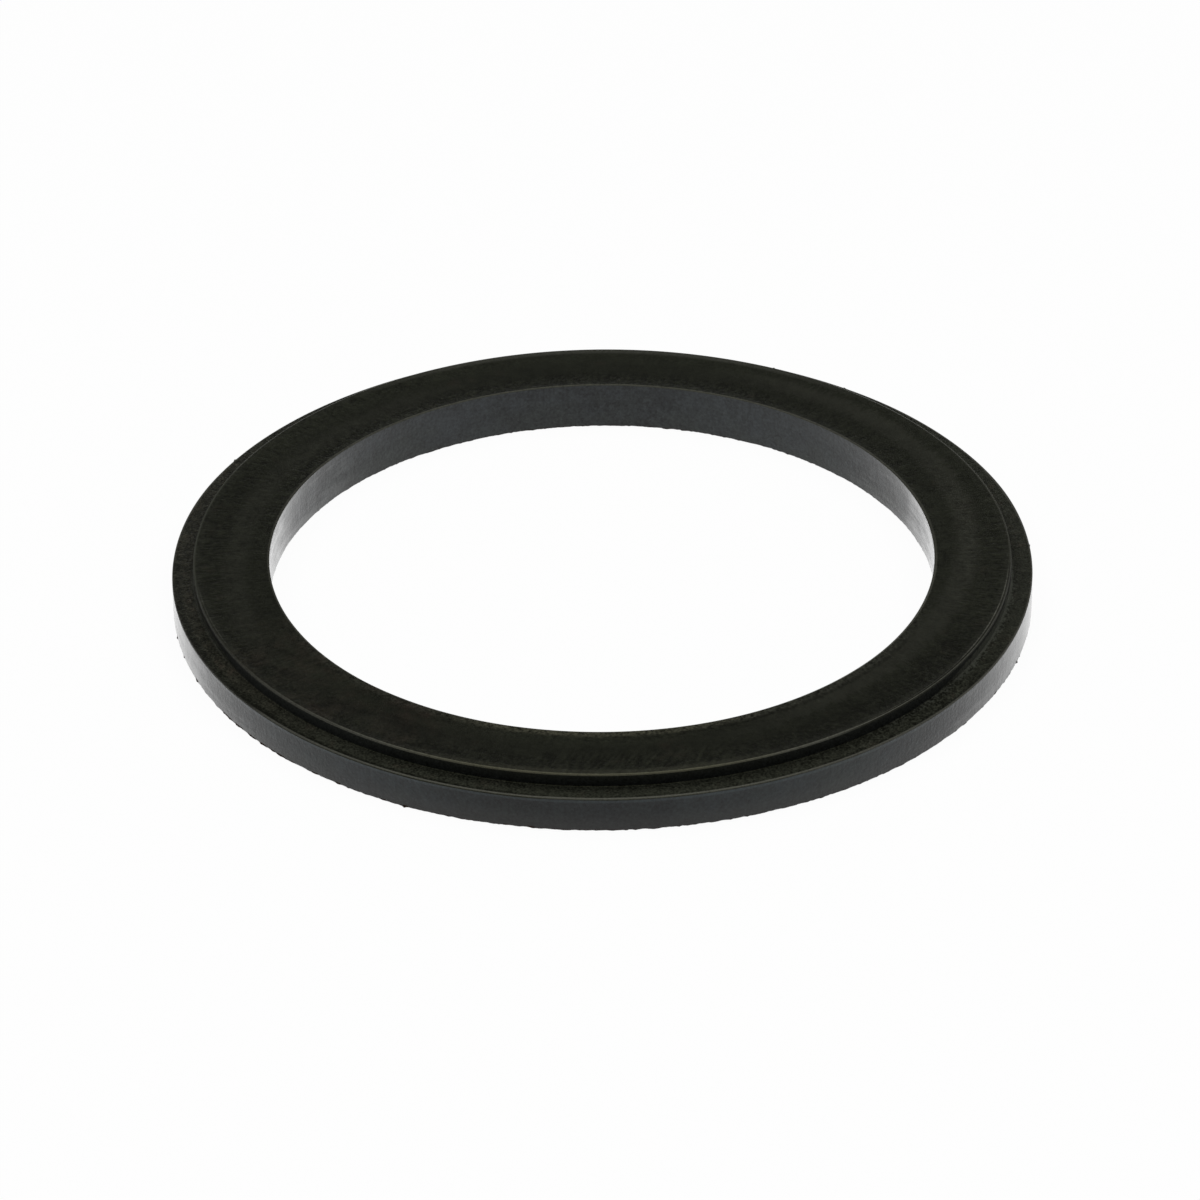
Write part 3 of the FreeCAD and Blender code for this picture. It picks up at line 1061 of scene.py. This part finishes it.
def ring_mesh(size):
    """The ring's closed mesh, with smooth faces and its map."""
    count = size.segments
    azimuth = np.arange(count) * (2 * math.pi / count)
    rows = Section(size, azimuth).rows()
    radial = np.array([np.broadcast_to(row[1], count) for row in rows])
    height = np.array([np.broadcast_to(row[2], count) for row in rows])
    points = np.stack([radial * np.cos(azimuth), radial * np.sin(azimuth), height], axis=-1)

    row, column = np.divmod(np.arange(radial.size), count)
    next_row, next_column = (row + 1) % len(rows), (column + 1) % count
    faces = np.stack(
        [
            row * count + column,
            row * count + next_column,
            next_row * count + next_column,
            next_row * count + column,
        ],
        axis=-1,
    )
    mesh = bpy.data.meshes.new("seal_ring_rubber")
    mesh.from_pydata(points.reshape(-1, 3).tolist(), [], faces.tolist())
    mesh.shade_smooth()
    finishes = list(FINISHES)
    finish = np.array([finishes.index(name) for name, _, _ in rows], dtype=np.int32)[row]
    trimmed = marks(azimuth, FLASH_BITS, size.rim_radius)[column] < FLASH_SHOWN
    finish[(finish == finishes.index("flash")) & trimmed] = finishes.index("outer")
    mesh.polygons.foreach_set("material_index", finish)
    lay_out(mesh, radial, height, row, column)
    if mesh.validate(clean_customdata=False):
        raise ValueError("the ring's rows don't make a sound mesh")
    return mesh


def lay_out(mesh, radial, height, row, column):
    """Lays the ring's faces out flat on a square map, as a few strips one over the other."""
    count = radial.shape[1]
    along = np.hypot(np.diff(radial, axis=0, append=radial[:1]), np.diff(height, axis=0, append=height[:1]))
    reach = np.concatenate([[0.0], np.cumsum(along.mean(axis=1))])
    reach /= reach[-1]
    per_strip = count // MAP_STRIPS
    strip = column // per_strip
    start = (column % per_strip) / per_strip
    end = start + 1 / per_strip
    low, high = reach[row], reach[row + 1]
    across = np.stack([start, end, end, start], axis=-1) * (1 - 2 * MAP_GAP) + MAP_GAP
    up = np.stack([low, low, high, high], axis=-1) * (1 / MAP_STRIPS - 2 * MAP_GAP)
    up += (strip / MAP_STRIPS + MAP_GAP)[:, None]
    places = np.stack([across, up], axis=-1)
    mesh.uv_layers.new(name=BAKE_MAP).uv.foreach_set("vector", places.astype(np.float32).ravel())


class MouldSealRing(bpy.types.Operator):
    """Moulds the ring as one piece of rubber, in place of the plain solid"""

    bl_idname = "seal_ring.mould"
    bl_label = "Mould the seal ring"
    bl_options = {"REGISTER", "UNDO"}

    def execute(self, context):
        size, look = context.scene.seal_ring_sizes, context.scene.seal_ring_finish
        if not size.bore_radius < size.land_radius < size.rim_radius:
            raise ValueError("the bore is smaller than the land, and the land is smaller than the rim")
        if size.segments % MAP_STRIPS:
            raise ValueError("the segments are a multiple of the map's strips")
        ring = bpy.data.objects.new("seal_ring_rubber", ring_mesh(size))
        context.scene.collection.objects.link(ring)
        for finish in FINISHES.values():
            ring.data.materials.append(finish(look))
        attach(ring, "root")
        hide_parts("seal_ring")
        return {"FINISHED"}


def floor_finish(stage):
    """Pale and plain. What the camera and the rubber's gloss see of it is mostly plain white,
    and its own colour keeps the shadow."""
    paint = Finish("stage_floor")
    matt = paint.node("ShaderNodeBsdfDiffuse", None, {"Color": (*stage.floor_colour, 1.0)})
    glow = paint.node("ShaderNodeEmission", None, {"Strength": 1.0})
    rays = paint.node("ShaderNodeLightPath", output="Is Camera Ray")
    seen = paint.math("MAXIMUM", rays, rays.out("Is Glossy Ray"))
    seen = paint.math("MAXIMUM", seen, rays.out("Is Transmission Ray"))
    both = paint.node("ShaderNodeMixShader", None, {0: seen * stage.floor_glow, 1: matt, 2: glow})
    paint.node("ShaderNodeOutputMaterial", None, {"Surface": both})
    paint.material.cycles.emission_sampling = "NONE"
    return paint.material


def make_floor(stage):
    """A round floor, whose rim turns up to close the view at low angles."""
    profile = [(share * stage.floor_radius, rise) for share, rise in FLOOR_PROFILE]
    turns = np.linspace(0, 2 * math.pi, FLOOR_SEGMENTS, endpoint=False)
    points = [(0.0, 0.0, -FLOOR_GAP)]
    points += [(r * math.cos(a), r * math.sin(a), z - FLOOR_GAP) for r, z in profile for a in turns]
    faces = []
    for step in range(FLOOR_SEGMENTS):
        after = (step + 1) % FLOOR_SEGMENTS
        faces.append((0, 1 + step, 1 + after))
        for ring in range(len(profile) - 1):
            low, high = 1 + ring * FLOOR_SEGMENTS, 1 + (ring + 1) * FLOOR_SEGMENTS
            faces.append((low + step, high + step, high + after, low + after))
    mesh = bpy.data.meshes.new("stage_floor")
    mesh.from_pydata(points, [], faces)
    mesh.shade_smooth()
    mesh.materials.append(floor_finish(stage))
    return bpy.data.objects.new("stage_floor", mesh)


def make_softbox(name, place, size, power):
    """A softbox that faces the ring. The camera doesn't see it."""
    lamp = bpy.data.lights.new(name, "AREA")
    lamp.shape = "RECTANGLE"
    lamp.size, lamp.size_y = size
    lamp.energy = power
    softbox = bpy.data.objects.new(name, lamp)
    aim = (-Vector(place)).to_track_quat("-Z", "Y").to_matrix().to_4x4()
    softbox.matrix_world = Matrix.Translation(place) @ aim
    softbox.visible_camera = False
    return softbox


def make_camera(stage):
    """The camera, at the photograph's angle."""
    elevation = stage.camera_elevation
    place = stage.camera_distance * Vector((0, -math.cos(elevation), math.sin(elevation)))
    forward = (Vector((*stage.camera_aim, 0)) - place).normalized()
    level = forward.cross(Vector((0, 0, 1))).normalized()
    upright = level.cross(forward)
    cosine, sine = math.cos(stage.camera_roll), math.sin(stage.camera_roll)
    right = level * cosine + upright * sine
    up = upright * cosine - level * sine
    data = bpy.data.cameras.new("camera")
    data.lens = stage.camera_lens
    data.clip_start = 0.01
    camera = bpy.data.objects.new("camera", data)
    camera.matrix_world = Matrix.Translation(place) @ Matrix((right, up, -forward)).transposed().to_4x4()
    return camera


class SetSealRingStage(bpy.types.Operator):
    """Sets the pale floor, the soft light and the camera round the ring"""

    bl_idname = "seal_ring.set_stage"
    bl_label = "Set the stage"
    bl_options = {"REGISTER", "UNDO"}

    def execute(self, context):
        stage = context.scene.seal_ring_stage
        if stage.camera_distance <= 0:
            raise ValueError("the camera stands off from the ring")
        floor, camera = make_floor(stage), make_camera(stage)
        lamps = [
            make_softbox("top_lamp", stage.top_lamp, stage.top_lamp_size, stage.top_lamp_power),
            make_softbox("right_lamp", stage.right_lamp, stage.side_lamp_size, stage.right_lamp_power),
            make_softbox("left_lamp", stage.left_lamp, stage.side_lamp_size, stage.left_lamp_power),
        ]
        for thing in (floor, camera, *lamps):
            context.scene.collection.objects.link(thing)
        context.scene.camera = camera
        world = bpy.data.worlds.new("studio")
        world.use_nodes = True
        world.node_tree.nodes["Background"].inputs["Color"].default_value = (*[stage.surround] * 3, 1)
        context.scene.world = world
        context.scene.view_settings.view_transform = "Standard"
        return {"FINISHED"}


class VIEW3D_PT_seal_ring(bpy.types.Panel):
    """Lists the steps that make the ring and its stage, and the sizes that they use"""

    bl_label = "Seal ring"
    bl_space_type = "VIEW_3D"
    bl_region_type = "UI"
    bl_category = "Seal ring"

    def draw(self, context):
        scene = context.scene
        steps = {
            MouldSealRing: (scene.seal_ring_sizes, scene.seal_ring_finish),
            SetSealRingStage: (scene.seal_ring_stage,),
        }
        for operator, groups in steps.items():
            self.layout.operator(operator.bl_idname)
            for group in groups:
                for name in group.__annotations__:
                    self.layout.prop(group, name)


CLASSES = (
    SealRingSizes,
    SealRingFinish,
    SealRingStage,
    MouldSealRing,
    SetSealRingStage,
    VIEW3D_PT_seal_ring,
)
SETTINGS = {
    "seal_ring_sizes": SealRingSizes,
    "seal_ring_finish": SealRingFinish,
    "seal_ring_stage": SealRingStage,
}


def register():
    for kind in CLASSES:
        bpy.utils.register_class(kind)
    for name, group in SETTINGS.items():
        setattr(bpy.types.Scene, name, PointerProperty(type=group))


def unregister():
    for name in SETTINGS:
        delattr(bpy.types.Scene, name)
    for kind in reversed(CLASSES):
        bpy.utils.unregister_class(kind)


def main():
    """Makes the ring and its stage."""
    register()
    bpy.ops.seal_ring.mould()
    bpy.ops.seal_ring.set_stage()


if __name__ == "__main__":
    main()
